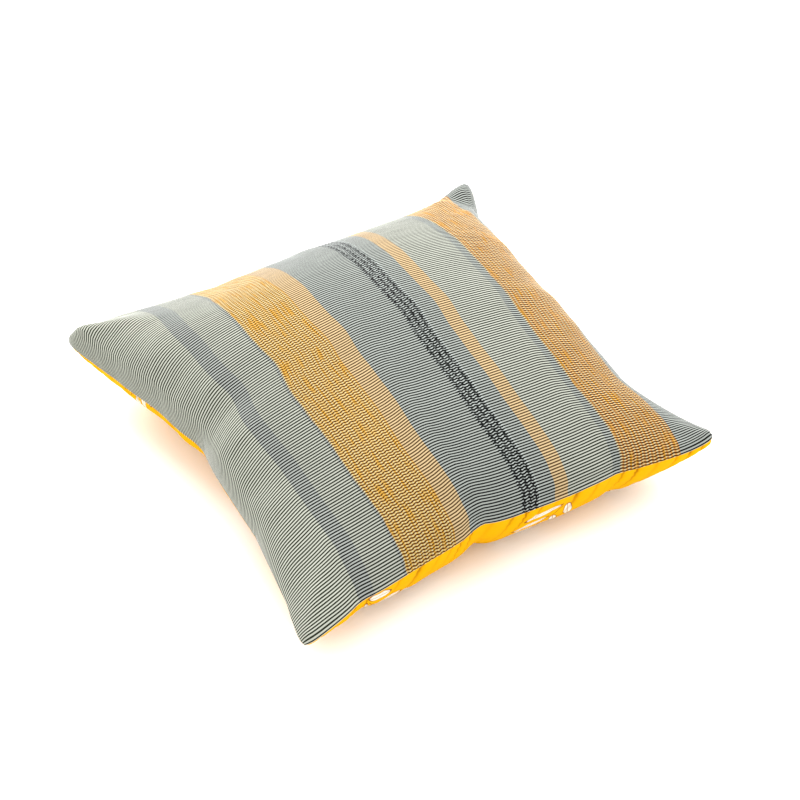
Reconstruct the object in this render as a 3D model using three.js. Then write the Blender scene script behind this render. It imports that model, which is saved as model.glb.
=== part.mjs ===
import * as THREE from 'three';

// A square scatter cushion in its case, lying on its back. Sizes in mm, +Z up.
// X runs along the near seam, across the stripes. Y runs along the left seam, with the stripes.
// The case is two square panels sewn face to face and turned out, then filled.
// Each panel is one solid with its half of the filling, and they meet at the seam.

// Flat size of each panel, from seam to seam.
const PANEL_SIDE = 450;

// Air between the two solids along the seam and behind it.
const SEAM_GAP = 0.3;

// Where the four corners end up once the case is filled. Each is a slack ear that turns up
// or down by earLift at its tip, over about earReach from it. The turned-out tips are blunt,
// over about their blunting, because the seam allowance is folded up inside them.
const CORNERS = {
  near: { x: -222.5, y: -222.5, height: 42, earLift: -2, earReach: 30, blunting: 6, u: 0, v: 0 },
  right: { x: 227.5, y: -215, height: 48, earLift: 8, earReach: 34, blunting: 13, u: 450, v: 0 },
  far: { x: 228, y: 211, height: 57, earLift: 15, earReach: 40, blunting: 8, u: 450, v: 450 },
  left: { x: -228.5, y: 226.5, height: 58, earLift: 4, earReach: 40, blunting: 17, u: 0, v: 450 },
};

// A tip stands back from its square corner by this share of its blunting, both ways.
const TIP_SETBACK = 0.5;

// How far the filling draws in the middle of each seam, the height of the seam there, and how
// far in from the seam, along the back panel, the cushion touches what it lies on. With a low
// flare the back panel turns in straight from the seam, with a high one it drops first.
const SEAMS = {
  near: { drawnIn: 22, height: 57, touchdown: 84, flare: 2 },
  right: { drawnIn: 31, height: 55, touchdown: 100, flare: 1.7 },
  far: { drawnIn: 22, height: 49, touchdown: 96, flare: 1.7 },
  left: { drawnIn: 35, height: 54, touchdown: 124, flare: 1.35 },
};

// Points where the seam is caught and pulled in. "along" is measured on the flat panel.
// A negative depth is a stretch that swells out between two such points.
const PUCKERS = [
  { seam: 'near', along: 68, depth: 8, reach: 12 },
  { seam: 'near', along: 200, depth: 9, reach: 13 },
  { seam: 'near', along: 285, depth: -5, reach: 48 },
  { seam: 'near', along: 342, depth: 4, reach: 10 },
  { seam: 'left', along: 52, depth: 3, reach: 9 },
  { seam: 'left', along: 130, depth: 2, reach: 16 },
  { seam: 'left', along: 252, depth: 9, reach: 26 },
  { seam: 'left', along: 315, depth: 5, reach: 32 },
  { seam: 'left', along: 374, depth: 2, reach: 12 },
  { seam: 'left', along: 404, depth: 4, reach: 20 },
  { seam: 'right', along: 100, depth: 16, reach: 40 },
  { seam: 'right', along: 230, depth: -4, reach: 30 },
  { seam: 'right', along: 396, depth: 14, reach: 30 },
  { seam: 'far', along: 48, depth: -8, reach: 30 },
  { seam: 'far', along: 215, depth: -1.5, reach: 60 },
  { seam: 'far', along: 366, depth: 1.5, reach: 22 },
];

// Height of the front panel over the seam at the middle, and how the filling leans in the case.
const CROWN_RISE = 74;
const CROWN_LEAN_X = -0.06;
const CROWN_LEAN_Y = 0.42;
const CROWN_ROUNDNESS = 0.5;

// The panel is spread in the middle and steep at the seams, so its width is taken up unevenly.
const FRONT_SPREAD_X = 0.24;
const FRONT_SPREAD_Y = 0.04;
const BACK_SPREAD_X = 0.03;
const BACK_SPREAD_Y = 0.13;

// Creases and soft folds. u and v place the middle on the flat panel, from the near corner.
// heading is in degrees from the near seam. rise is negative for a crease.
const FRONT_FOLDS = [
  { u: 76, v: 22, heading: 70, length: 26, width: 7, rise: 2.4 },
  { u: 62, v: 16, heading: 105, length: 18, width: 6, rise: -2.0 },
  { u: 208, v: 26, heading: 68, length: 32, width: 7, rise: 3.4 },
  { u: 192, v: 16, heading: 112, length: 20, width: 7, rise: -2.6 },
  { u: 226, v: 18, heading: 50, length: 22, width: 8, rise: -1.8 },
  { u: 346, v: 22, heading: 75, length: 24, width: 7, rise: 2.4 },
  { u: 334, v: 15, heading: 110, length: 18, width: 6, rise: -1.8 },
  { u: 28, v: 262, heading: 12, length: 38, width: 9, rise: 3.0 },
  { u: 30, v: 236, heading: 4, length: 34, width: 9, rise: -2.6 },
  { u: 26, v: 208, heading: -10, length: 40, width: 10, rise: 2.8 },
  { u: 24, v: 300, heading: 16, length: 30, width: 10, rise: -2.0 },
  { u: 22, v: 334, heading: 24, length: 32, width: 10, rise: 2.2 },
  { u: 26, v: 128, heading: -18, length: 34, width: 10, rise: 2.0 },
  { u: 24, v: 156, heading: -14, length: 30, width: 10, rise: -1.8 },
  { u: 34, v: 412, heading: -38, length: 40, width: 9, rise: 3.2 },
  { u: 50, v: 424, heading: -24, length: 34, width: 8, rise: -2.6 },
  { u: 30, v: 30, heading: 44, length: 44, width: 12, rise: 2.4 },
  { u: 420, v: 36, heading: 128, length: 36, width: 7, rise: 4.2 },
  { u: 408, v: 26, heading: 132, length: 34, width: 8, rise: -4.0 },
  { u: 42, v: 408, heading: -45, length: 40, width: 24, rise: 4.0 },
  { u: 422, v: 420, heading: -46, length: 32, width: 12, rise: -8.0 },
  { u: 404, v: 426, heading: 20, length: 32, width: 9, rise: 3.0 },
  { u: 13, v: 437, heading: -45, length: 16, width: 14, rise: 7.0 },
  { u: 439, v: 11, heading: -45, length: 12, width: 12, rise: 4.0 },
  { u: 140, v: 396, heading: 0, length: 80, width: 34, rise: -8.0 },
  { u: 430, v: 392, heading: 66, length: 30, width: 9, rise: 3.4 },
  { u: 430, v: 250, heading: 170, length: 36, width: 12, rise: -2.4 },
  { u: 428, v: 190, heading: 8, length: 34, width: 12, rise: 2.2 },
  { u: 428, v: 318, heading: 172, length: 32, width: 12, rise: 2.2 },
  { u: 240, v: 428, heading: 96, length: 34, width: 12, rise: 2.2 },
  { u: 150, v: 430, heading: 84, length: 30, width: 12, rise: -2.0 },
];
const BACK_FOLDS = [
  { u: 70, v: 18, heading: 96, length: 24, width: 7, rise: -2.2 },
  { u: 130, v: 20, heading: 80, length: 26, width: 8, rise: 1.6 },
  { u: 198, v: 20, heading: 100, length: 28, width: 8, rise: -3.0 },
  { u: 220, v: 20, heading: 74, length: 24, width: 7, rise: 2.2 },
  { u: 268, v: 20, heading: 98, length: 26, width: 8, rise: -1.8 },
  { u: 342, v: 18, heading: 92, length: 24, width: 7, rise: -2.2 },
  { u: 18, v: 236, heading: 4, length: 28, width: 10, rise: -3.0 },
  { u: 18, v: 200, heading: -6, length: 26, width: 9, rise: 2.0 },
  { u: 20, v: 280, heading: 8, length: 26, width: 9, rise: 2.0 },
  { u: 430, v: 190, heading: 176, length: 28, width: 10, rise: -2.4 },
  { u: 430, v: 300, heading: 4, length: 28, width: 10, rise: 1.8 },
  { u: 250, v: 432, heading: 90, length: 28, width: 10, rise: -2.4 },
];

// A fold dies out over this distance from the seam, where the cloth is held flat.
const FOLD_FADE = 5;

// Broad hollows and lumps of the filling, felt through the front panel.
const FILLING_LUMPS = [
  { u: 120, v: 300, radius: 60, rise: 2.5 },
  { u: 215, v: 180, radius: 55, rise: -2.0 },
  { u: 310, v: 330, radius: 65, rise: 2.0 },
  { u: 330, v: 110, radius: 60, rise: 2.5 },
  { u: 100, v: 110, radius: 55, rise: -1.5 },
];

// Cells along one side of a panel. They are closer together beside the seams.
const CELLS = 52;
const EDGE_CROWDING = 0.45;

function cellEdge(index) {
  const even = index / CELLS;
  const crowded = 0.5 - 0.5 * Math.cos(Math.PI * even);
  return even + (crowded - even) * EDGE_CROWDING;
}

function cellMiddle(index) {
  return (cellEdge(index) + cellEdge(index + 1)) / 2;
}

// Nought at both ends of a side and one in its middle.
function bow(share) {
  return 4 * share * (1 - share);
}

function puckerDepth(seamName, share) {
  const along = share * PANEL_SIDE;
  let depth = 0;
  for (const pucker of PUCKERS) {
    if (pucker.seam === seamName) {
      const distance = (along - pucker.along) / pucker.reach;
      depth += pucker.depth / (1 + distance * distance);
    }
  }
  return depth * bow(share);
}

// One point of a seam line, at a share of the way from one corner to the next.
function seamPoint(seamName, start, end, share, inward) {
  const seam = SEAMS[seamName];
  const pull = seam.drawnIn * bow(share) + puckerDepth(seamName, share);
  const chordHeight = (start.height + end.height) / 2;
  return {
    x: start.x + (end.x - start.x) * share + inward.x * pull,
    y: start.y + (end.y - start.y) * share + inward.y * pull,
    z: start.height + (end.height - start.height) * share + (seam.height - chordHeight) * bow(share),
  };
}

// The seam level carried across the case between its four seam lines, without the ears.
function slungLevel(u, v) {
  const { near, right, far, left } = CORNERS;
  const south = seamPoint('near', near, right, u, { x: 0, y: 1 });
  const north = seamPoint('far', left, far, u, { x: 0, y: -1 });
  const west = seamPoint('left', near, left, v, { x: 1, y: 0 });
  const east = seamPoint('right', right, far, v, { x: -1, y: 0 });
  const blend = (s, n, w, e, cornerValues) => {
    const [c00, c10, c11, c01] = cornerValues;
    const corners = c00 * (1 - u) * (1 - v) + c10 * u * (1 - v) + c11 * u * v + c01 * (1 - u) * v;
    return s * (1 - v) + n * v + w * (1 - u) + e * u - corners;
  };
  return {
    x: blend(south.x, north.x, west.x, east.x, [near.x, right.x, far.x, left.x]),
    y: blend(south.y, north.y, west.y, east.y, [near.y, right.y, far.y, left.y]),
    z: blend(south.z, north.z, west.z, east.z, [near.height, right.height, far.height, left.height]),
  };
}

// The same level with the corner ears turned and their tips blunted.
function seamLevel(u, v) {
  const point = slungLevel(u, v);
  for (const corner of Object.values(CORNERS)) {
    const distance = Math.hypot(u * PANEL_SIDE - corner.u, v * PANEL_SIDE - corner.v);
    point.z += corner.earLift * Math.exp(-((distance / corner.earReach) ** 2));
    const setback = TIP_SETBACK * corner.blunting * Math.exp(-distance / corner.blunting);
    point.x -= Math.sign(corner.x) * setback;
    point.y -= Math.sign(corner.y) * setback;
  }
  return point;
}

function foldHeight(folds, u, v) {
  const px = u * PANEL_SIDE;
  const py = v * PANEL_SIDE;
  const seamDistance = Math.min(px, py, PANEL_SIDE - px, PANEL_SIDE - py);
  const fade = 1 - Math.exp(-((seamDistance / FOLD_FADE) ** 2));
  let height = 0;
  for (const fold of folds) {
    const heading = THREE.MathUtils.degToRad(fold.heading);
    const dx = px - fold.u;
    const dy = py - fold.v;
    const along = (dx * Math.cos(heading) + dy * Math.sin(heading)) / fold.length;
    const across = (dy * Math.cos(heading) - dx * Math.sin(heading)) / fold.width;
    height += fold.rise * Math.exp(-along * along - across * across);
  }
  return height * fade;
}

function lumpHeight(u, v) {
  let height = 0;
  for (const lump of FILLING_LUMPS) {
    const distance = Math.hypot(u * PANEL_SIDE - lump.u, v * PANEL_SIDE - lump.v) / lump.radius;
    height += lump.rise * Math.exp(-distance * distance);
  }
  return height * bow(u) * bow(v);
}

// Spreads the cloth outward from the middle line, but not along the two seams it runs between.
function spreadShare(share, other, amount) {
  const insideSeams = Math.min(1, 1.5 * bow(other));
  return share + amount * (share - 0.5) * bow(share) * insideSeams;
}

function frontPoint(u, v) {
  const s = 2 * u - 1;
  const t = 2 * v - 1;
  const base = seamLevel(spreadShare(u, v, FRONT_SPREAD_X), spreadShare(v, u, FRONT_SPREAD_Y));
  const lean = 1 + CROWN_LEAN_X * s + CROWN_LEAN_Y * t;
  const crown = (bow(u) * bow(v)) ** CROWN_ROUNDNESS;
  const rise = CROWN_RISE * crown * lean + foldHeight(FRONT_FOLDS, u, v) + lumpHeight(u, v);
  return [base.x, base.y, base.z + SEAM_GAP / 2 + rise];
}

function backPoint(u, v) {
  const base = seamLevel(spreadShare(u, v, BACK_SPREAD_X), spreadShare(v, u, BACK_SPREAD_Y));
  const lift = (share, seam) => Math.max(0, 1 - (share * PANEL_SIDE) / seam.touchdown) ** seam.flare;
  const across = 1 - lift(u, SEAMS.left) - lift(1 - u, SEAMS.right);
  const lengthwise = 1 - lift(v, SEAMS.near) - lift(1 - v, SEAMS.far);
  const belly = Math.sqrt(across * lengthwise);
  const lifted = (base.z - SEAM_GAP / 2) * (1 - belly);
  const fold = foldHeight(BACK_FOLDS, u, v) * Math.min(1, 1.5 * bow(belly));
  return [base.x, base.y, Math.max(0, lifted - fold)];
}

// Grid indices of the points along the seam, anticlockwise from the near corner.
function seamLoop() {
  const row = CELLS + 1;
  const loop = [];
  for (let i = 0; i < CELLS; i++) {
    loop.push(i);
  }
  for (let j = 0; j < CELLS; j++) {
    loop.push(j * row + CELLS);
  }
  for (let i = CELLS; i > 0; i--) {
    loop.push(CELLS * row + i);
  }
  for (let j = CELLS; j > 0; j--) {
    loop.push(j * row);
  }
  return loop;
}

// One filled panel: its outer face, and the parting face behind it that meets the other panel.
function panelGeometry(pointAt, facesUp) {
  const row = CELLS + 1;
  const positions = [];
  const indices = [];
  const triangle = (a, b, c) => indices.push(...(facesUp ? [a, b, c] : [a, c, b]));
  for (let j = 0; j <= CELLS; j++) {
    for (let i = 0; i <= CELLS; i++) {
      positions.push(...pointAt(cellEdge(i), cellEdge(j)));
    }
  }
  // Each cell is split along the diagonal nearer to the cloth, so that a crease isn't stepped.
  const placed = (index) => new THREE.Vector3().fromArray(positions, 3 * index);
  const halfway = (first, second) => placed(first).add(placed(second)).multiplyScalar(0.5);
  for (let j = 0; j < CELLS; j++) {
    for (let i = 0; i < CELLS; i++) {
      const a = j * row + i;
      const b = a + 1;
      const c = a + row + 1;
      const d = a + row;
      const cloth = new THREE.Vector3(...pointAt(cellMiddle(i), cellMiddle(j)));
      if (cloth.distanceTo(halfway(a, c)) < cloth.distanceTo(halfway(b, d))) {
        triangle(a, b, c);
        triangle(a, c, d);
      } else {
        triangle(a, b, d);
        triangle(b, c, d);
      }
    }
  }
  const middle = seamLevel(0.5, 0.5);
  const gapSide = facesUp ? SEAM_GAP / 2 : -SEAM_GAP / 2;
  positions.push(middle.x, middle.y, middle.z + gapSide);
  const centre = positions.length / 3 - 1;
  const loop = seamLoop();
  loop.forEach((point, k) => {
    triangle(centre, loop[(k + 1) % loop.length], point);
  });
  const geometry = new THREE.BufferGeometry();
  geometry.setAttribute('position', new THREE.Float32BufferAttribute(positions, 3));
  geometry.setIndex(indices);
  return geometry;
}

// Puts the origin under the middle of the whole cushion, on the surface it lies on.
function centreOnOrigin(geometries) {
  const box = new THREE.Box3();
  for (const geometry of geometries) {
    geometry.computeBoundingBox();
    box.union(geometry.boundingBox);
  }
  const middle = box.getCenter(new THREE.Vector3());
  for (const geometry of geometries) {
    geometry.translate(-middle.x, -middle.y, -box.min.z);
    geometry.computeVertexNormals();
  }
}

const frontGeometry = panelGeometry(frontPoint, true);
const backGeometry = panelGeometry(backPoint, false);
centreOnOrigin([frontGeometry, backGeometry]);

// Woven front panel: fine grey ribs with bands of dark grey, peach and orange.
const frontCloth = new THREE.MeshStandardMaterial({ color: 0x8f958b, roughness: 0.9 });
const frontPanel = new THREE.Mesh(frontGeometry, frontCloth);
frontPanel.name = 'front_panel';

// Plain-woven cotton back panel in golden yellow.
const backCloth = new THREE.MeshStandardMaterial({ color: 0xf2ae1c, roughness: 0.85 });
const backPanel = new THREE.Mesh(backGeometry, backCloth);
backPanel.name = 'back_panel';

const cushion = new THREE.Group();
cushion.name = 'cushion';
cushion.add(frontPanel);
cushion.add(backPanel);

export default cushion;
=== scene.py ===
import math

import bmesh
import bpy
import numpy as np
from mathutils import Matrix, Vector
from mathutils.bvhtree import BVHTree


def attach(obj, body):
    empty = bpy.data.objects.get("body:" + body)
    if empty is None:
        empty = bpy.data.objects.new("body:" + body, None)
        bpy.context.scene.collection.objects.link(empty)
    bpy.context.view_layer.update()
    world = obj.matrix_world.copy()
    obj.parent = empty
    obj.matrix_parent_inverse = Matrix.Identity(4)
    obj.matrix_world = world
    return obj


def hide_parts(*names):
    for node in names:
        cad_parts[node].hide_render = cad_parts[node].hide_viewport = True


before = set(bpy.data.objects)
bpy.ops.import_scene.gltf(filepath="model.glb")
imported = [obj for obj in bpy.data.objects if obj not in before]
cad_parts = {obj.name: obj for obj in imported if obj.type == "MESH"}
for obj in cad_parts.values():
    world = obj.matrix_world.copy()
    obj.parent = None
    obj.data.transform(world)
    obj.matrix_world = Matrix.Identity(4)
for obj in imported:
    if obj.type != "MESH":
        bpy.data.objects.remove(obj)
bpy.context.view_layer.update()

# The seam that joins the two panels on all four sides.
# It is sewn on the wrong side and turned in, so it shows only as the line where the panels
# meet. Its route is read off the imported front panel, from corner to corner.
PANEL_SIDE = 0.45
PANEL_MM = PANEL_SIDE * 1000
SEAM_STEPS = 400


def merged_solid(node_name):
    solid = bmesh.new()
    solid.from_mesh(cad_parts[node_name].data)
    bmesh.ops.remove_doubles(solid, verts=solid.verts, dist=1e-6)
    return solid


def seam_route(solid):
    """The rim of a panel's solid, anticlockwise, from the fan of faces behind the panel."""
    hub = max(solid.verts, key=lambda vert: len(vert.link_edges))
    following = {}
    for face in hub.link_faces:
        around = [loop.vert for loop in face.loops]
        start = around.index(hub)
        following[around[(start + 2) % 3]] = around[(start + 1) % 3]
    vert = next(iter(following))
    route = []
    for _ in following:
        route.append(vert.co.copy())
        vert = following[vert]
    return route


def seam_sides(route):
    """The near, right, far and left sides. The first two start at the near and right corners."""
    tips = [(-1, -1), (1, -1), (1, 1), (-1, 1)]
    places = range(len(route))
    corners = [max(places, key=lambda k: route[k].x * sx + route[k].y * sy) for sx, sy in tips]
    sides = []
    for start, end in zip(corners, corners[1:] + corners[:1]):
        steps = (end - start) % len(route)
        side = np.array([route[(start + k) % len(route)] for k in range(steps + 1)])
        lengths = np.linalg.norm(np.diff(side, axis=0), axis=1)
        along = np.concatenate([[0], np.cumsum(lengths)]) / lengths.sum()
        even = np.linspace(0, 1, SEAM_STEPS + 1)
        sides.append(np.stack([np.interp(even, along, side[:, k]) for k in range(3)], axis=1))
    return sides[0], sides[1], sides[2][::-1], sides[3][::-1]


front_solid = merged_solid("front_panel")
back_solid = merged_solid("back_panel")
front_skin = BVHTree.FromBMesh(front_solid)
back_skin = BVHTree.FromBMesh(back_solid)
near, right, far, left = seam_sides(seam_route(front_solid))


# Both panels as the filling shapes them.
# The cloth is cut flat, sewn and turned. Here it is laid evenly over its solid and then let
# go, held only at the seam, so that it creases where there is more cloth than room for it.
CLOTH_CELLS = 72
LAYING_CELLS = 160
LAYING_ROUNDS = 2
PRESSURE = 5.0
SIM_FRAMES = 22
CREASE_CAP = 0.004
SHAPE_ROUNDS = 16
# Where the front hangs straighter than its solid, beside the right corner: the place and the
# reach as shares of the panel, and the rounds of smoothing.
STRAIGHT_U = 0.9
STRAIGHT_V = 0.09
STRAIGHT_REACH = 0.1
STRAIGHT_ROUNDS = 14
# The corners, as shares u and v, and how far each tip is drawn in, in metres. The filling then
# pushes it out and up by a part of that.
BLUNT_TIPS = [(1, 0, 0.009), (0, 0, 0.004), (0, 1, 0.004), (1, 1, 0.004)]
TIP_REACH = 0.014
TIP_PUSH = 0.6
TIP_RISE = 0.5


def on_side(side, share):
    even = np.linspace(0, 1, len(side))
    return np.stack([np.interp(share, even, side[:, k]) for k in range(3)], axis=-1)


def slung_level(u, v):
    """The level of the seam carried across the case, at shares u and v of its sides."""
    u, v = np.broadcast_arrays(u, v)
    across = on_side(near, u) * (1 - v)[..., None] + on_side(far, u) * v[..., None]
    along = on_side(left, v) * (1 - u)[..., None] + on_side(right, v) * u[..., None]
    corners = near[0] * ((1 - u) * (1 - v))[..., None] + near[-1] * (u * (1 - v))[..., None]
    corners = corners + far[-1] * (u * v)[..., None] + far[0] * ((1 - u) * v)[..., None]
    return across + along - corners


def lay_on(skin, side, u, v):
    """Drops the points at u and v onto a solid's skin. side is 1 from above, -1 from below."""
    points = slung_level(u, v)
    inside = (np.minimum(u, v) > 1e-6) & (np.maximum(u, v) < 1 - 1e-6)
    for k in zip(*np.nonzero(inside)):
        start = Vector((points[k][0], points[k][1], side))
        hit = skin.ray_cast(start, Vector((0, 0, -side)))[0]
        if hit is not None:
            points[k][2] = hit.z
    return points


def evened(cells, fine, line):
    """Shares of a line across the case that cut the cloth along it into equal steps."""
    lengths = np.linalg.norm(np.diff(line, axis=0), axis=1)
    along = np.concatenate([[0], np.cumsum(lengths)]) / lengths.sum()
    return np.interp(cells, along, fine)


def laid_evenly(skin, side):
    """One panel's cloth, spread evenly both ways over its solid."""
    cells = np.linspace(0, 1, CLOTH_CELLS + 1)
    fine = 0.5 - 0.5 * np.cos(np.pi * np.linspace(0, 1, LAYING_CELLS + 1))
    u, v = np.meshgrid(cells, cells, indexing="ij")
    for _ in range(LAYING_ROUNDS):
        for k in range(1, CLOTH_CELLS):
            line = lay_on(skin, side, fine, np.interp(fine, u[:, k], v[:, k]))
            u[:, k] = evened(cells, fine, line)
        for k in range(1, CLOTH_CELLS):
            line = lay_on(skin, side, np.interp(fine, v[k, :], u[k, :]), fine)
            v[k, :] = evened(cells, fine, line)
    return lay_on(skin, side, u, v)


def sewn_flat():
    """Both panels cut flat and welded round their rims, with a mark on the under one."""
    bm = bmesh.new()
    under = bm.verts.layers.int.new("under")
    bmesh.ops.create_grid(bm, x_segments=CLOTH_CELLS, y_segments=CLOTH_CELLS, size=0.5)
    copied = bmesh.ops.duplicate(bm, geom=bm.verts[:] + bm.edges[:] + bm.faces[:])["geom"]
    for item in copied:
        if isinstance(item, bmesh.types.BMVert):
            item[under] = 1
    bmesh.ops.reverse_faces(bm, faces=[f for f in copied if isinstance(f, bmesh.types.BMFace)])
    bmesh.ops.remove_doubles(bm, verts=[v for v in bm.verts if v.is_boundary], dist=1e-5)
    mesh = bpy.data.meshes.new("sewn_case")
    bm.to_mesh(mesh)
    bm.free()
    return mesh


def point_array(points):
    values = np.zeros(len(points) * 3)
    points.foreach_get("co", values)
    return values.reshape(-1, 3)


def relaxed(case, cut_key):
    """The case after its cloth has been let go under the filling's pressure."""
    cloth = case.modifiers.new("cloth", "CLOTH")
    cloth.settings.quality = 5
    cloth.settings.mass = 0.3
    cloth.settings.tension_stiffness = 30
    cloth.settings.compression_stiffness = 30
    cloth.settings.shear_stiffness = 10
    cloth.settings.bending_stiffness = 0.4
    cloth.settings.air_damping = 2
    cloth.settings.use_pressure = True
    cloth.settings.uniform_pressure_force = PRESSURE
    cloth.settings.vertex_group_mass = "seam"
    cloth.settings.rest_shape_key = cut_key
    cloth.settings.effector_weights.gravity = 0
    cloth.collision_settings.use_collision = False
    cloth.point_cache.frame_end = SIM_FRAMES
    for number in range(1, SIM_FRAMES + 1):
        bpy.context.scene.frame_set(number)
    shaped = case.evaluated_get(bpy.context.evaluated_depsgraph_get())
    points = point_array(shaped.data.vertices)
    case.modifiers.remove(cloth)
    bpy.context.scene.frame_set(1)
    return points


def softened(offsets, rounds):
    """Offsets averaged with their neighbours, and nought along the seam."""
    for _ in range(rounds):
        for axis in (0, 1):
            inner = 0.5 * offsets + 0.25 * (np.roll(offsets, 1, axis) + np.roll(offsets, -1, axis))
            inner[[0, -1], :] = 0
            inner[:, [0, -1]] = 0
            offsets = inner
    return offsets


def kept_to_solid(panel, skin):
    """Takes the broad swelling off a relaxed panel, and keeps its creases on the solid's shape."""
    offsets = np.zeros_like(panel)
    for k in np.ndindex(panel.shape[:2]):
        offsets[k] = panel[k] - np.array(skin.find_nearest(Vector(panel[k]))[0])
    offsets[[0, -1], :] = 0
    offsets[:, [0, -1]] = 0
    broad = softened(offsets, SHAPE_ROUNDS)
    creases = offsets - broad
    depth = np.linalg.norm(creases, axis=2, keepdims=True)
    capped = creases * np.minimum(1, CREASE_CAP / np.maximum(depth, 1e-9))
    shaped = panel - offsets + capped
    shaped[..., 2] = np.maximum(shaped[..., 2], 0)
    return shaped


def case_panels():
    """The front and back panels as grids of points, u down the first axis and v down the second."""
    front = laid_evenly(front_skin, 1)
    back = laid_evenly(back_skin, -1)
    mesh = sewn_flat()
    flat = point_array(mesh.vertices)
    step = np.rint((flat[:, :2] + 0.5) * CLOTH_CELLS).astype(int)
    under = np.array([item.value for item in mesh.attributes["under"].data], dtype=bool)
    rim = (step.min(axis=1) == 0) | (step.max(axis=1) == CLOTH_CELLS)
    u, v = step[:, 0], step[:, 1]
    laid = np.where(under[:, None], back[u, v], front[u, v])
    mesh.vertices.foreach_set("co", laid.ravel())
    case = bpy.data.objects.new("sewn_case", mesh)
    bpy.context.scene.collection.objects.link(case)
    case.shape_key_add(name="laid")
    cut_key = case.shape_key_add(name="cut")
    cut_key.data.foreach_set("co", (flat * PANEL_SIDE).ravel())
    held = case.vertex_groups.new(name="seam")
    held.add([int(k) for k in np.nonzero(rim)[0]], 1.0, "REPLACE")
    points = relaxed(case, cut_key)
    bpy.data.objects.remove(case)
    bpy.data.meshes.remove(mesh)
    front[u[~under | rim], v[~under | rim]] = points[~under | rim]
    back[u[under | rim], v[under | rim]] = points[under | rim]
    return kept_to_solid(front, front_skin), kept_to_solid(back, back_skin)


def eased(panel, u, v, reach, rounds):
    """The panel smoothed round one place, where the cloth hangs straighter than its solid."""
    smooth = panel.copy()
    for _ in range(rounds):
        for axis in (0, 1):
            inner = 0.5 * smooth + 0.25 * (np.roll(smooth, 1, axis) + np.roll(smooth, -1, axis))
            smooth[1:-1, 1:-1] = inner[1:-1, 1:-1]
    cells = np.linspace(0, 1, len(panel))
    near_by = np.exp(-(((cells[:, None] - u) ** 2 + (cells[None, :] - v) ** 2) / reach**2))
    return panel + near_by[..., None] * (smooth - panel)


def read_at(grid, u, v):
    """The points of a grid at shares u and v."""
    cells = len(grid) - 1
    x = np.clip(u, 0, 1) * cells
    y = np.clip(v, 0, 1) * cells
    i = np.minimum(x.astype(int), cells - 1)
    j = np.minimum(y.astype(int), cells - 1)
    s = (x - i)[..., None]
    t = (y - j)[..., None]
    first = grid[i, j] * (1 - t) + grid[i, j + 1] * t
    second = grid[i + 1, j] * (1 - t) + grid[i + 1, j + 1] * t
    return first * (1 - s) + second * s


def blunted(front, back, tip_u, tip_v, pull):
    """Both panels with one corner turned out round, and fuller where its seams are folded up."""
    cells = np.linspace(0, 1, len(front))
    u, v = np.meshgrid(cells, cells, indexing="ij")
    from_tip = (abs(u - tip_u) + abs(v - tip_v)) * PANEL_SIDE
    shift = pull / PANEL_SIDE * np.exp(-from_tip / TIP_REACH)
    u = u + shift * (1 - 2 * tip_u)
    v = v + shift * (1 - 2 * tip_v)
    last = len(front) - 1
    tip = front[tip_u * last, tip_v * last]
    away = np.array([tip[0], tip[1], 0]) / np.hypot(tip[0], tip[1])
    moved = away * (TIP_PUSH * pull * np.exp(-from_tip / (4 * TIP_REACH)))[..., None]
    front = read_at(front, u, v) + moved
    back = read_at(back, u, v) + moved
    front[..., 2] += TIP_RISE * pull * np.exp(-from_tip / (2 * TIP_REACH))
    middle = 0.5 * (front + back)
    rim = np.ones(front.shape[:2], dtype=bool)
    rim[1:-1, 1:-1] = False
    front[rim] = back[rim] = middle[rim]
    return front, back


front_grid, back_grid = case_panels()
front_grid = eased(front_grid, STRAIGHT_U, STRAIGHT_V, STRAIGHT_REACH, STRAIGHT_ROUNDS)
for tip_u, tip_v, pull in BLUNT_TIPS:
    front_grid, back_grid = blunted(front_grid, back_grid, tip_u, tip_v, pull)


# Front panel.
# One square of hand-woven cotton. Dark and light weft lie in turn, so it is ribbed along X,
# and bands of grey, slate, peach and orange warp cross it. The orange bands are a basket
# weave of thick yarn, and one narrow black band is floated. Sewn to the back all round.
RIBS = 166
RIB_PITCH = PANEL_MM / RIBS
RIB_ROWS = 4
PLAIN_COLUMN = 4.4
# The bands from the left seam to the right one, and their widths in mm.
BAND_WIDTHS = {
    "pale_edge": 66,
    "slate": 16,
    "pale_inner": 32,
    "dark_line": 2.5,
    "basket": 55,
    "peach": 19.5,
    "dark_field": 55,
    "black_float": 18,
    "dark_narrow": 16,
    "peach_narrow": 14,
    "pale_wide": 51,
    "dark_thin": 9,
    "basket_wide": 59,
    "dark_edge": 37,
}
# How the light and the dark yarn of each kind look, from 0 to 255.
LIGHT_YARN = {
    "pale": (236, 239, 222),
    "grey": (223, 226, 211),
    "slate": (204, 209, 202),
    "dark": (202, 208, 200),
    "peach": (255, 222, 168),
    "orange": (255, 206, 108),
    "tan": (248, 172, 82),
    "black": (222, 230, 224),
}
DARK_YARN = {
    "pale": (54, 58, 44),
    "grey": (44, 48, 38),
    "slate": (14, 18, 14),
    "dark": (8, 12, 10),
    "peach": (100, 74, 38),
    "orange": (154, 92, 16),
    "tan": (76, 42, 10),
    "black": (4, 8, 6),
}
BAND_YARN = {
    "pale_edge": "pale",
    "slate": "slate",
    "pale_inner": "grey",
    "dark_line": "dark",
    "basket": "orange",
    "peach": "peach",
    "dark_field": "dark",
    "black_float": "black",
    "dark_narrow": "dark",
    "peach_narrow": "peach",
    "pale_wide": "grey",
    "dark_thin": "dark",
    "basket_wide": "tan",
    "dark_edge": "dark",
}
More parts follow.
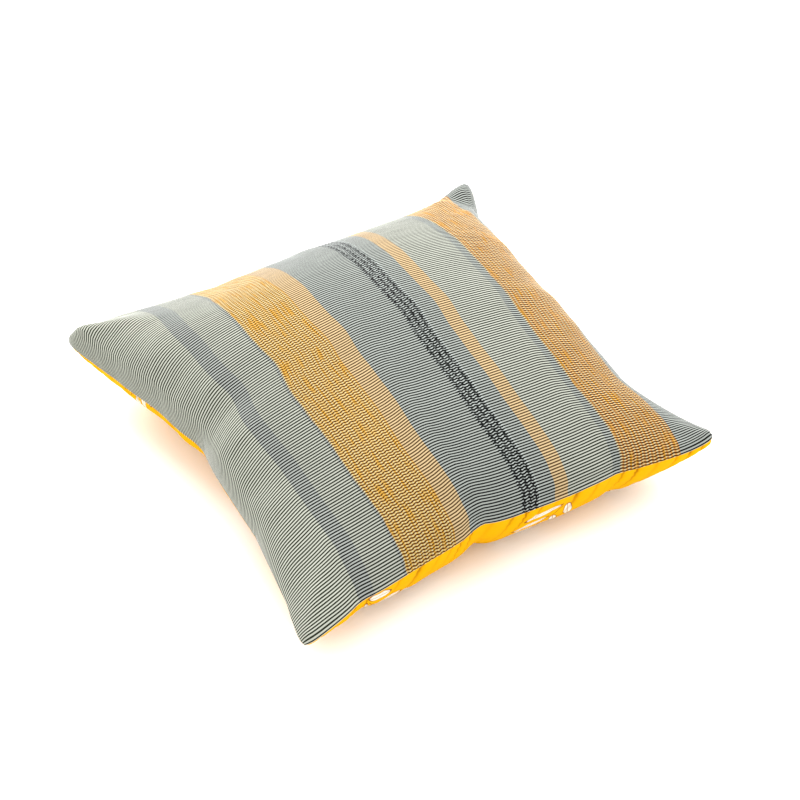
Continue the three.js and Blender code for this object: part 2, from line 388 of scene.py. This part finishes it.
# The raised bands: how many times the ribs swing up and down across each, how far they swing,
# and the height of a knot, in mm. Every swing has two knots.
RAISED_BANDS = {
    "basket": {"swings": 8.5, "swing": 0.4, "height": 0.7},
    "black_float": {"swings": 3, "swing": 0.2, "height": 0.4},
    "basket_wide": {"swings": 8, "swing": 0.35, "height": 0.8},
}
KNOT_LAG = math.radians(150)
KNOT_MEAN = 0.6
KNOT_CHANGE = 0.4
PLAIN_RIB_HEIGHT = 0.28
# The weave flattens out over the last FLAT_RIM mm before the seam. The cloth slides less and
# less within HELD_EDGE of the left and right seams, which is a share of the panel.
FLAT_RIM = 5
HELD_EDGE = 0.1
# How far the cloth has slid to the right on the filling, and where: the slide, its middle and
# reach across the panel, in mm, and its middle and reach as shares along it.
SLIDES = [
    (8, 350, 130, 0.23, 0.11),
    (-7, 345, 120, 0.02, 0.05),
    (-3, 90, 60, 0.40, 0.14),
    (13, 80, 130, 0.86, 0.17),
    (5, 270, 70, 0.84, 0.14),
    (-3, 190, 60, 0.54, 0.12),
    (9, 420, 30, 0.50, 0.20),
    (6, 420, 35, 0.18, 0.07),
]


def band_edges():
    """Each band's start and end from the left seam, in mm."""
    edges = {}
    start = 0
    for name, width in BAND_WIDTHS.items():
        edges[name] = (start, start + width)
        start += width
    return edges


def column_shares():
    """Shares across the panel for the mesh columns: four to a knot in raised bands, else coarse."""
    shares = []
    for name, (start, end) in band_edges().items():
        if name in RAISED_BANDS:
            steps = round(RAISED_BANDS[name]["swings"] * 8)
        else:
            steps = max(1, round((end - start) / PLAIN_COLUMN))
        shares.extend(np.linspace(start, end, steps, endpoint=False) / PANEL_MM)
    return np.array(shares + [1.0])


def weave_height(u, v):
    """Height of the yarns over the cloth, in metres, at shares u and v of the panel."""
    across = u * PANEL_MM
    along = v * PANEL_MM
    wave = np.zeros_like(across)
    height = np.full_like(across, PLAIN_RIB_HEIGHT)
    knots = np.ones_like(across)
    for name, (start, end) in band_edges().items():
        if name in RAISED_BANDS:
            band = RAISED_BANDS[name]
            inside = (across >= start) & (across < end)
            turn = 2 * np.pi * (across - start) / (end - start) * band["swings"]
            wave = np.where(inside, band["swing"] * np.sin(turn), wave)
            height = np.where(inside, band["height"], height)
            knot = KNOT_MEAN + KNOT_CHANGE * np.cos(2 * turn - KNOT_LAG)
            knots = np.where(inside, knot, knots)
    rib = 0.5 + 0.5 * np.cos(2 * np.pi * (along - wave) / RIB_PITCH)
    from_rim = np.minimum(np.minimum(u, 1 - u), np.minimum(v, 1 - v)) * PANEL_MM
    return 0.001 * height * rib * knots * np.clip(from_rim / FLAT_RIM, 0, 1)


def resampled(grid, shares):
    """A grid of points read down its columns, at each column's shares, on smooth curves."""
    place = np.clip(shares, 0, 1) * (len(grid) - 1)
    k = np.minimum(place.astype(int), len(grid) - 2)
    t = (place - k)[..., None]
    column = np.arange(grid.shape[1])
    before = grid[np.maximum(k - 1, 0), column]
    start = grid[k, column]
    end = grid[k + 1, column]
    after = grid[np.minimum(k + 2, len(grid) - 1), column]
    slope_in = 0.5 * (end - before)
    slope_out = 0.5 * (after - start)
    curve = start * (2 * t**3 - 3 * t**2 + 1) + slope_in * (t**3 - 2 * t**2 + t)
    return curve + end * (3 * t**2 - 2 * t**3) + slope_out * (t**3 - t**2)


def slid(u, v):
    """Shares across the filled case where the cloth's shares u have come to lie."""
    shift = np.zeros_like(u)
    for slide, middle, reach, level, spread in SLIDES:
        across = (u * PANEL_MM - middle) / reach
        shift += slide * np.exp(-across**2 - ((v - level) / spread) ** 2)
    free = np.clip(np.minimum(u, 1 - u) / HELD_EDGE, 0, 1)
    return u + shift * free / PANEL_MM


def panel_object(name, grid, u_shares, v_shares, height, facing):
    """A closed panel: its cloth outside, raised by height, and a plain face behind it."""
    u, v = np.meshgrid(u_shares, v_shares, indexing="ij")
    points = resampled(grid.swapaxes(0, 1), np.tile(v_shares[:, None], len(grid))).swapaxes(0, 1)
    points = resampled(points, slid(u, v) if facing > 0 else u)
    outward = facing * np.cross(np.gradient(points, axis=0), np.gradient(points, axis=1))
    outward /= np.maximum(np.linalg.norm(outward, axis=2, keepdims=True), 1e-12)
    points = points + outward * height(u, v)[..., None]
    points[..., 2] = np.maximum(points[..., 2], 0)
    columns, rows = len(u_shares) - 1, len(v_shares) - 1
    bm = bmesh.new()
    cut = bm.verts.layers.float_vector.new("cut")
    bmesh.ops.create_grid(bm, x_segments=columns, y_segments=rows, size=0.5)
    for vert in bm.verts:
        i = round((vert.co.x + 0.5) * columns)
        j = round((vert.co.y + 0.5) * rows)
        vert[cut] = (u_shares[i], v_shares[j], 0)
        vert.co = points[i, j]
    if facing < 0:
        bmesh.ops.reverse_faces(bm, faces=bm.faces)
    rim = [edge for edge in bm.edges if edge.is_boundary]
    for edge in rim:
        edge.smooth = False
    inner = bmesh.ops.extrude_edge_only(bm, edges=rim)["geom"]
    inner = [item for item in inner if isinstance(item, bmesh.types.BMVert)]
    bmesh.ops.pointmerge(bm, verts=inner, merge_co=slung_level(np.array(0.5), np.array(0.5)))
    bmesh.ops.recalc_face_normals(bm, faces=bm.faces)
    for face in bm.faces:
        face.smooth = True
    mesh = bpy.data.meshes.new(name)
    bm.to_mesh(mesh)
    bm.free()
    shares = np.zeros(len(mesh.vertices) * 3)
    mesh.attributes["cut"].data.foreach_get("vector", shares)
    corner = np.zeros(len(mesh.loops), dtype=int)
    mesh.loops.foreach_get("vertex_index", corner)
    flat = mesh.uv_layers.new(name="cut_flat")
    flat.data.foreach_set("uv", shares.reshape(-1, 3)[corner, :2].ravel())
    mesh.attributes.remove(mesh.attributes["cut"])
    piece = bpy.data.objects.new(name, mesh)
    bpy.context.scene.collection.objects.link(piece)
    return piece


front_rows = np.linspace(0, 1, RIBS * RIB_ROWS + 1)
front_cover = panel_object("front_cover", front_grid, column_shares(), front_rows, weave_height, 1)


# The studio light is brighter than just makes white paper white, so the yarns are darker than
# they look by this factor.
OVER_LIT = 2.22


def linear(colour, over_lit=OVER_LIT):
    """A colour as it looks on the screen, from 0 to 255, as the cloth's own linear colour."""
    values = [c / 255 for c in colour]
    values = [c / 12.92 if c <= 0.04045 else ((c + 0.055) / 1.055) ** 2.4 for c in values]
    return tuple([c / over_lit for c in values] + [1.0])


def calc(tree, operation, *values):
    """One Math node on numbers or sockets."""
    node = tree.nodes.new("ShaderNodeMath")
    node.operation = operation
    for socket, value in zip(node.inputs, values):
        if isinstance(value, bpy.types.NodeSocket):
            tree.links.new(value, socket)
        else:
            socket.default_value = value
    return node.outputs[0]


def blended(tree, factor, first, second, mode="MIX"):
    """One colour over another. A colour is a socket or a linear colour."""
    node = tree.nodes.new("ShaderNodeMix")
    node.data_type = "RGBA"
    node.blend_type = mode
    for socket, value in ((node.inputs[0], factor), (node.inputs[6], first), (node.inputs[7], second)):
        if isinstance(value, bpy.types.NodeSocket):
            tree.links.new(value, socket)
        else:
            socket.default_value = value
    return node.outputs[2]


def between(tree, value, low, high):
    """One inside low to high, nought outside."""
    above = calc(tree, "GREATER_THAN", value, low)
    return calc(tree, "MULTIPLY", above, calc(tree, "LESS_THAN", value, high))


def grain(tree, across, along, lump, detail=2.0):
    """Noise from 0 to 1. lump is the size of its lumps across and along the cloth, in mm."""
    place = tree.nodes.new("ShaderNodeCombineXYZ")
    tree.links.new(calc(tree, "DIVIDE", across, lump[0]), place.inputs[0])
    tree.links.new(calc(tree, "DIVIDE", along, lump[1]), place.inputs[1])
    noise = tree.nodes.new("ShaderNodeTexNoise")
    noise.inputs["Scale"].default_value = 1.0
    noise.inputs["Detail"].default_value = detail
    tree.links.new(place.outputs[0], noise.inputs["Vector"])
    return noise.outputs["Fac"]


def cloth_material(name, roughness, sheen):
    """An empty cloth material: its tree, its shader, and the flat place on the cloth in mm."""
    material = bpy.data.materials.new(name)
    material.use_nodes = True
    tree = material.node_tree
    shader = tree.nodes["Principled BSDF"]
    shader.inputs["Roughness"].default_value = roughness
    shader.inputs["Specular IOR Level"].default_value = 0.1
    shader.inputs["Sheen Weight"].default_value = sheen
    shader.inputs["Sheen Roughness"].default_value = 0.3
    flat = tree.nodes.new("ShaderNodeUVMap")
    flat.uv_map = "cut_flat"
    split = tree.nodes.new("ShaderNodeSeparateXYZ")
    tree.links.new(flat.outputs[0], split.inputs[0])
    across = calc(tree, "MULTIPLY", split.outputs[0], PANEL_MM)
    along = calc(tree, "MULTIPLY", split.outputs[1], PANEL_MM)
    return material, tree, shader, across, along


def raise_by(tree, shader, height, distance):
    """Gives the shader a bump of height, whose full depth is distance in metres."""
    bump = tree.nodes.new("ShaderNodeBump")
    bump.inputs["Strength"].default_value = 1.0
    bump.inputs["Distance"].default_value = distance
    tree.links.new(height, bump.inputs["Height"])
    tree.links.new(bump.outputs[0], shader.inputs["Normal"])


def band_ramp(tree, across, yarns):
    """The yarn colour of each band, from the left seam to the right one."""
    ramp = tree.nodes.new("ShaderNodeValToRGB")
    ramp.color_ramp.interpolation = "CONSTANT"
    for name, (start, _) in band_edges().items():
        share = start / PANEL_MM
        stop = ramp.color_ramp.elements[0] if start == 0 else ramp.color_ramp.elements.new(share)
        stop.color = linear(yarns[BAND_YARN[name]])
    ramp.color_ramp.elements.remove(ramp.color_ramp.elements[-1])
    tree.links.new(calc(tree, "DIVIDE", across, PANEL_MM), ramp.inputs[0])
    return ramp.outputs[0]


# The cream is a painted highlight on the crests of the knots, and the brown is painted shade low
# between the knots and beside the ribs. The gold is the slubs' own colour.
PAINTED_KNOT_HIGHLIGHT = (255, 244, 190)
GOLD_SLUB = (250, 182, 44)
PAINTED_GAP_SHADE = (84, 44, 2)
# Where the light yarn, the slubs and the painted highlight on the crests of the knots set in, and
# where they are full. Painted brown shade shows low beside a rib (HOLE_RANGE) and where the knots
# are low (GAP_RANGE).
LIGHT_RANGE = (0.3, 0.7)
SLUB_RANGE = (0.52, 0.66)
CREST_RANGE = (0.3, 0.9)
HOLE_RANGE = (0.6, 0.24)
GAP_RANGE = (-0.2, 0.6)
SLUB_COVER = 0.7
# In the black band the light yarn sinks by flecks of noise, less BLACK_RISE, and these shift it
# in dashes that lean with the swing and in others that cross them.
BLACK_LEAN = -0.2
BLACK_CROSS = 0.12
BLACK_RISE = 0.16
# How far apart the darkest and the lightest rows, fibres and broad patches are.
ROW_TONE = 0.22
SPECK_TONE = 0.3
BROAD_TONE = 0.14
# The lumps of the noise in the weave, across and along the cloth, in mm.
WANDER_LUMP = (30, 10)
FLECK_LUMP = (3.2, 2.4)
SLUB_LUMP = (2.6, 30)
ROW_LUMP = (160, 2.2)
SPECK_LUMP = (1.6, 0.9)
BROAD_LUMP = (70, 90)
WANDER = 0.5
# The twist of the yarn, in radians to a millimetre, and the relief of its plies and fibres
# beside that of a rib.
TWIST_ACROSS = 5.4
TWIST_ALONG = 1.9
PLY_RELIEF = 0.18
FIBRE_RELIEF = 0.5
YARN_RELIEF = 0.00025


def ramped(tree, value, limits):
    """Nought at the first limit, one at the second one, smooth between."""
    node = tree.nodes.new("ShaderNodeMapRange")
    node.interpolation_type = "SMOOTHSTEP"
    node.inputs["From Min"].default_value = limits[0]
    node.inputs["From Max"].default_value = limits[1]
    tree.links.new(value, node.inputs["Value"])
    return node.outputs[0]


def woven_front():
    """Ribs of light and dark yarn in the colours of the bands, with knots where they are raised."""
    material, tree, shader, across, along = cloth_material("woven_front", roughness=0.9, sheen=0.42)
    wander = calc(tree, "SUBTRACT", grain(tree, across, along, WANDER_LUMP), 0.5)
    wave = calc(tree, "MULTIPLY", wander, WANDER)
    knot = 0.0
    in_basket = 0.0
    for name, band in RAISED_BANDS.items():
        start, end = band_edges()[name]
        inside = between(tree, across, start, end)
        offset = calc(tree, "SUBTRACT", across, start)
        turn = calc(tree, "MULTIPLY", offset, 2 * math.pi * band["swings"] / (end - start))
        swing = calc(tree, "MULTIPLY", calc(tree, "SINE", turn), inside)
        wave = calc(tree, "MULTIPLY_ADD", swing, band["swing"], wave)
        twice = calc(tree, "COSINE", calc(tree, "MULTIPLY_ADD", turn, 2.0, -KNOT_LAG))
        knot = calc(tree, "MULTIPLY_ADD", calc(tree, "MULTIPLY_ADD", twice, 0.5, 0.5), inside, knot)
        if name == "black_float":
            in_black = inside
            black_turn = turn
        else:
            in_basket = calc(tree, "ADD", in_basket, inside)
    rib_turn = calc(tree, "MULTIPLY", calc(tree, "SUBTRACT", along, wave), 2 * math.pi / RIB_PITCH)
    rib = calc(tree, "MULTIPLY_ADD", calc(tree, "COSINE", rib_turn), 0.5, 0.5)

    # The light yarn dips under in leaning dashes in the black band.
    leaning = calc(tree, "COSINE", calc(tree, "SUBTRACT", black_turn, rib_turn))
    half_turn = calc(tree, "MULTIPLY", rib_turn, 0.5)
    crossed = calc(tree, "COSINE", calc(tree, "MULTIPLY_ADD", black_turn, 2.0, half_turn))
    fleck = grain(tree, across, along, FLECK_LUMP, 1.0)
    sunk = calc(tree, "SUBTRACT", fleck, BLACK_RISE)
    sunk = calc(tree, "MULTIPLY_ADD", crossed, BLACK_CROSS, sunk)
    sunk = calc(tree, "MULTIPLY_ADD", leaning, BLACK_LEAN, sunk)
    sunk = calc(tree, "MULTIPLY", sunk, in_black)
    light = ramped(tree, calc(tree, "SUBTRACT", rib, sunk), LIGHT_RANGE)
    dark_yarn = band_ramp(tree, across, DARK_YARN)
    colour = blended(tree, light, dark_yarn, band_ramp(tree, across, LIGHT_YARN))

    # The basket bands have long golden slubs, a painted cream highlight on the knots and painted
    # brown shade in the gaps.
    slub = ramped(tree, grain(tree, across, along, SLUB_LUMP), SLUB_RANGE)
    slub = calc(tree, "MULTIPLY", slub, in_basket)
    colour = blended(tree, calc(tree, "MULTIPLY", slub, SLUB_COVER), colour, linear(GOLD_SLUB))
    bare_knot = calc(tree, "MULTIPLY_ADD", slub, -SLUB_COVER, knot)
    crest_highlight = calc(tree, "MULTIPLY", ramped(tree, rib, CREST_RANGE), bare_knot)
    colour = blended(tree, calc(tree, "MULTIPLY", crest_highlight, in_basket), colour, linear(PAINTED_KNOT_HIGHLIGHT))
    gap = ramped(tree, calc(tree, "SUBTRACT", 1.0, knot), GAP_RANGE)
    gap_shade = calc(tree, "MULTIPLY", ramped(tree, rib, HOLE_RANGE), gap)
    colour = blended(tree, calc(tree, "MULTIPLY", gap_shade, in_basket), colour, linear(PAINTED_GAP_SHADE))

    # Rows, single fibres and broad patches are a little lighter or darker.
    row = grain(tree, across, along, ROW_LUMP, 1.0)
    speck = grain(tree, across, along, SPECK_LUMP)
    broad = grain(tree, across, along, BROAD_LUMP)
    tone = 1.0
    for noise, spread in ((row, ROW_TONE), (speck, SPECK_TONE), (broad, BROAD_TONE)):
        tone = calc(tree, "MULTIPLY", calc(tree, "MULTIPLY_ADD", noise, spread, 1 - spread / 2), tone)
    shade = tree.nodes.new("ShaderNodeCombineColor")
    for socket in shade.inputs:
        tree.links.new(tone, socket)
    colour = blended(tree, 1.0, colour, shade.outputs[0], "MULTIPLY")
    tree.links.new(colour, shader.inputs["Base Color"])

    ply = calc(tree, "MULTIPLY_ADD", across, TWIST_ACROSS, calc(tree, "MULTIPLY", along, TWIST_ALONG))
    fibres = calc(tree, "MULTIPLY_ADD", speck, FIBRE_RELIEF, rib)
    height = calc(tree, "MULTIPLY_ADD", calc(tree, "SINE", ply), PLY_RELIEF, fibres)
    raise_by(tree, shader, height, YARN_RELIEF)
    return material


front_cover.data.materials.append(woven_front())
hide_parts("front_panel")
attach(front_cover, "root")


# Back panel.
# One square of plain-woven cotton in golden yellow, printed with pale sprigs. It is cut to
# the same size as the front, sewn to it all round, and pressed flat where the case lies.
PRINTED_YELLOW = (255, 186, 4)
PRINTED_WHITE = (255, 247, 226)
PRINTED_BROWN = (168, 104, 30)
# A deeper yellow painted as shade at the bottoms of the gathers.
GATHER_SHADE_YELLOW = (168, 92, 4)
BACK_OVER_LIT = 1.5
PLAIN_LUMP = (0.8, 0.8)
PLAIN_RELIEF = 0.0001
# The sprigs, in mm: the cells they stand in, their stems, and the leaves on both sides. A
# sprig turns by SPRIG_TURNS with each column and row, from a first angle. A leaf's middle lies
# LEAF_PLACE of its length out from the stem. Its edge is where its squared size is one.
PRINT_SHIFT = (100, 20)
SPRIG_PITCH = 140
SPRIG_LENGTH = 96
SPRIG_BEND = 130
SPRIG_TURNS = (1.4, 0.9, -2.45)
STEM_WIDTH = 1.0
LEAF_SPACING = 16
LEAF_LENGTH = 30
LEAF_WIDTH = 7
LEAF_SLANT = math.radians(42)
LEAF_PLACE = 0.45
VEIN_WIDTH = 0.5
OUTLINE_RANGE = (0.82, 1.12)
# The gathers along the seam. Lengths are in mm, but the depth is in metres. The spacing and
# the depth wander in slow waves, and the mesh is finer over the gathered edge.
GATHERED_EDGE = 60
GATHERED_CELLS = 60
INNER_CELLS = 81
GATHER_DEPTH = 0.0035
GATHER_PITCH = 17
GATHER_REACH = 20
GATHER_LEAN = 0.7
GATHER_WAVES = [(1.5, 13.7), (0.8, 31)]
DEPTH_WAVE = 9.3
DEPTH_MEAN = 0.6
DEPTH_CHANGE = 0.4
SEAM_TAPER = 4
# The powers that narrow the gathers in the mesh and their bottoms' painted shade of deeper yellow.
FOLD_SHARPNESS = 5
GATHER_SHADE_SHARPNESS = 9


def back_wrinkle(u, v):
    """Narrow gathers in the cloth, aslant to the seam and a tenth as deep 45 mm inside it."""
    from_ends = np.minimum(u, 1 - u) * PANEL_MM
    from_level = np.minimum(v, 1 - v) * PANEL_MM
    inward = np.minimum(from_ends, from_level)
    place = np.where(from_level < from_ends, u, v) * PANEL_MM + GATHER_LEAN * inward
    turn = 2 * np.pi * place / GATHER_PITCH
    for swing, length in GATHER_WAVES:
        turn = turn + swing * np.sin(place / length)
    fold = (0.5 - 0.5 * np.sin(turn)) ** FOLD_SHARPNESS
    deep = DEPTH_MEAN + DEPTH_CHANGE * np.sin(place / DEPTH_WAVE)
    faded = np.clip(inward / SEAM_TAPER, 0, 1) * np.exp(-inward / GATHER_REACH)
    return -GATHER_DEPTH * fold * deep * faded


edge_cells = np.linspace(0, GATHERED_EDGE, GATHERED_CELLS, endpoint=False)
inner_cells = np.linspace(GATHERED_EDGE, PANEL_MM - GATHERED_EDGE, INNER_CELLS + 1)
back_shares = np.concatenate([edge_cells, inner_cells, PANEL_MM - edge_cells[::-1]]) / PANEL_MM
back_cover = panel_object("back_cover", back_grid, back_shares, back_shares, back_wrinkle, -1)


def sprigs(tree, across, along):
    """Where the print is white and where it is brown: one turned leaf sprig to each cell."""
    across = calc(tree, "ADD", across, PRINT_SHIFT[0])
    along = calc(tree, "ADD", along, PRINT_SHIFT[1])
    row = calc(tree, "FLOOR", calc(tree, "DIVIDE", along, SPRIG_PITCH))
    stagger = calc(tree, "MULTIPLY", calc(tree, "MODULO", row, 2.0), SPRIG_PITCH / 2)
    across = calc(tree, "ADD", across, stagger)
    column = calc(tree, "FLOOR", calc(tree, "DIVIDE", across, SPRIG_PITCH))
    middle = calc(tree, "MULTIPLY_ADD", column, SPRIG_PITCH, SPRIG_PITCH / 2)
    level = calc(tree, "MULTIPLY_ADD", row, SPRIG_PITCH, SPRIG_PITCH / 2)
    x = calc(tree, "SUBTRACT", across, middle)
    y = calc(tree, "SUBTRACT", along, level)
    column_turn, row_turn, first_angle = SPRIG_TURNS
    angle = calc(tree, "MULTIPLY_ADD", row, row_turn, first_angle)
    angle = calc(tree, "MULTIPLY_ADD", column, column_turn, angle)
    cosine = calc(tree, "COSINE", angle)
    sine = calc(tree, "SINE", angle)
    side = calc(tree, "MULTIPLY_ADD", x, cosine, calc(tree, "MULTIPLY", y, sine))
    up = calc(tree, "SUBTRACT", calc(tree, "MULTIPLY", y, cosine), calc(tree, "MULTIPLY", x, sine))
    bend = calc(tree, "DIVIDE", calc(tree, "MULTIPLY", up, up), SPRIG_BEND)
    side = calc(tree, "SUBTRACT", side, bend)
    from_stem = calc(tree, "ABSOLUTE", side)
    stem = calc(tree, "LESS_THAN", calc(tree, "ABSOLUTE", up), SPRIG_LENGTH / 2)
    stem = calc(tree, "MULTIPLY", calc(tree, "LESS_THAN", from_stem, STEM_WIDTH / 2), stem)
    out = calc(tree, "SUBTRACT", from_stem, LEAF_LENGTH * LEAF_PLACE)
    rung = calc(tree, "MULTIPLY_ADD", out, -math.tan(LEAF_SLANT), up)
    inside = calc(tree, "LESS_THAN", calc(tree, "ABSOLUTE", rung), SPRIG_LENGTH / 2)
    step = calc(tree, "FLOORED_MODULO", rung, LEAF_SPACING)
    step = calc(tree, "SUBTRACT", step, LEAF_SPACING / 2)
    lean = calc(tree, "MULTIPLY", step, math.sin(LEAF_SLANT))
    p = calc(tree, "MULTIPLY_ADD", out, 1 / math.cos(LEAF_SLANT), lean)
    q = calc(tree, "MULTIPLY", step, math.cos(LEAF_SLANT))
    long_way = calc(tree, "POWER", calc(tree, "DIVIDE", p, LEAF_LENGTH / 2), 2.0)
    short_way = calc(tree, "POWER", calc(tree, "DIVIDE", q, LEAF_WIDTH / 2), 2.0)
    leaf = calc(tree, "ADD", long_way, short_way)
    white = calc(tree, "MULTIPLY", calc(tree, "LESS_THAN", leaf, 1.0), inside)
    vein = calc(tree, "LESS_THAN", calc(tree, "ABSOLUTE", q), VEIN_WIDTH / 2)
    vein = calc(tree, "MULTIPLY", vein, white)
    outline = calc(tree, "MULTIPLY", between(tree, leaf, *OUTLINE_RANGE), inside)
    return white, calc(tree, "MAXIMUM", calc(tree, "MAXIMUM", vein, outline), stem)


def gathers(tree, across, along):
    """How deep the cloth lies in the gathers of the mesh, from 0 to 1: the share of painted shade."""
    from_ends = calc(tree, "MINIMUM", across, calc(tree, "SUBTRACT", PANEL_MM, across))
    from_level = calc(tree, "MINIMUM", along, calc(tree, "SUBTRACT", PANEL_MM, along))
    inward = calc(tree, "MINIMUM", from_ends, from_level)
    level = calc(tree, "LESS_THAN", from_level, from_ends)
    place = calc(tree, "MULTIPLY_ADD", level, calc(tree, "SUBTRACT", across, along), along)
    place = calc(tree, "MULTIPLY_ADD", inward, GATHER_LEAN, place)
    turn = calc(tree, "MULTIPLY", place, 2 * math.pi / GATHER_PITCH)
    for swing, length in GATHER_WAVES:
        drift = calc(tree, "SINE", calc(tree, "DIVIDE", place, length))
        turn = calc(tree, "MULTIPLY_ADD", drift, swing, turn)
    fold = calc(tree, "MULTIPLY_ADD", calc(tree, "SINE", turn), -0.5, 0.5)
    fold = calc(tree, "POWER", fold, GATHER_SHADE_SHARPNESS)
    deep = calc(tree, "SINE", calc(tree, "DIVIDE", place, DEPTH_WAVE))
    deep = calc(tree, "MULTIPLY_ADD", deep, DEPTH_CHANGE, DEPTH_MEAN)
    fade = calc(tree, "EXPONENT", calc(tree, "DIVIDE", inward, -GATHER_REACH))
    return calc(tree, "MULTIPLY", calc(tree, "MULTIPLY", fold, deep), fade)


def printed_back():
    """Golden yellow with the sprigs on it, and a deeper yellow painted as shade down in the gathers.
    """
    material, tree, shader, across, along = cloth_material("printed_back", roughness=0.95, sheen=0.0)
    shader.inputs["Specular IOR Level"].default_value = 0.05
    white, brown = sprigs(tree, across, along)
    yellow = linear(PRINTED_YELLOW, BACK_OVER_LIT)
    colour = blended(tree, white, yellow, linear(PRINTED_WHITE, BACK_OVER_LIT))
    colour = blended(tree, brown, colour, linear(PRINTED_BROWN, BACK_OVER_LIT))
    # The bottoms of the gathers get a painted shade of deeper yellow.
    gather_shade_colour = linear(GATHER_SHADE_YELLOW, BACK_OVER_LIT)
    colour = blended(tree, gathers(tree, across, along), colour, gather_shade_colour)
    tree.links.new(colour, shader.inputs["Base Color"])
    raise_by(tree, shader, grain(tree, across, along, PLAIN_LUMP), PLAIN_RELIEF)
    return material


back_cover.data.materials.append(printed_back())
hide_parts("back_panel")
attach(back_cover, "root")


# Camera, floor and light.
# A white floor, lit softly all round and more from behind and from the right. It lies half a
# millimetre low, so that no face of the cushion lies in it.
CAMERA_AZIMUTH = math.radians(-32.1)
CAMERA_ELEVATION = math.radians(42.5)
CAMERA_DISTANCE = 2.395
CAMERA_TARGET = Vector((0.0012, -0.0176, 0.06))
CAMERA_LENS = 116.9
FLOOR_DROP = 0.0005
PAPER_WHITE = (0.95, 0.95, 0.95, 1.0)
SKY_STRENGTH = 1.55

camera = bpy.data.objects.new("camera", bpy.data.cameras.new("camera"))
bpy.context.scene.collection.objects.link(camera)
bpy.context.scene.camera = camera
toward = Vector((
    math.sin(CAMERA_AZIMUTH) * math.cos(CAMERA_ELEVATION),
    -math.cos(CAMERA_AZIMUTH) * math.cos(CAMERA_ELEVATION),
    math.sin(CAMERA_ELEVATION),
))
camera.location = CAMERA_TARGET + toward * CAMERA_DISTANCE
camera.rotation_euler = toward.to_track_quat("Z", "Y").to_euler()
camera.data.lens = CAMERA_LENS
camera.data.sensor_width = 36.0

bm = bmesh.new()
bmesh.ops.create_grid(bm, x_segments=1, y_segments=1, size=6.0)
bmesh.ops.translate(bm, verts=bm.verts, vec=(0, 0, -FLOOR_DROP))
floor_mesh = bpy.data.meshes.new("floor")
bm.to_mesh(floor_mesh)
bm.free()
floor = bpy.data.objects.new("floor", floor_mesh)
bpy.context.scene.collection.objects.link(floor)
paper = bpy.data.materials.new("white_paper")
paper.use_nodes = True
paper.node_tree.nodes["Principled BSDF"].inputs["Base Color"].default_value = PAPER_WHITE
paper.node_tree.nodes["Principled BSDF"].inputs["Roughness"].default_value = 0.9
floor.data.materials.append(paper)

world = bpy.data.worlds.new("studio")
bpy.context.scene.world = world
world.use_nodes = True
world.node_tree.nodes["Background"].inputs["Color"].default_value = (1.0, 1.0, 1.0, 1.0)
world.node_tree.nodes["Background"].inputs["Strength"].default_value = SKY_STRENGTH


def soft_light(name, place, size, power):
    lamp = bpy.data.lights.new(name, "AREA")
    lamp.size = size
    lamp.energy = power
    item = bpy.data.objects.new(name, lamp)
    item.location = place
    item.rotation_euler = Vector(place).to_track_quat("Z", "Y").to_euler()
    bpy.context.scene.collection.objects.link(item)


soft_light("back_light", (0.2, 2.2, 1.7), 2.4, 140)
soft_light("side_light", (1.9, 0.0, 1.7), 1.6, 35)

bpy.context.scene.view_settings.view_transform = "Standard"
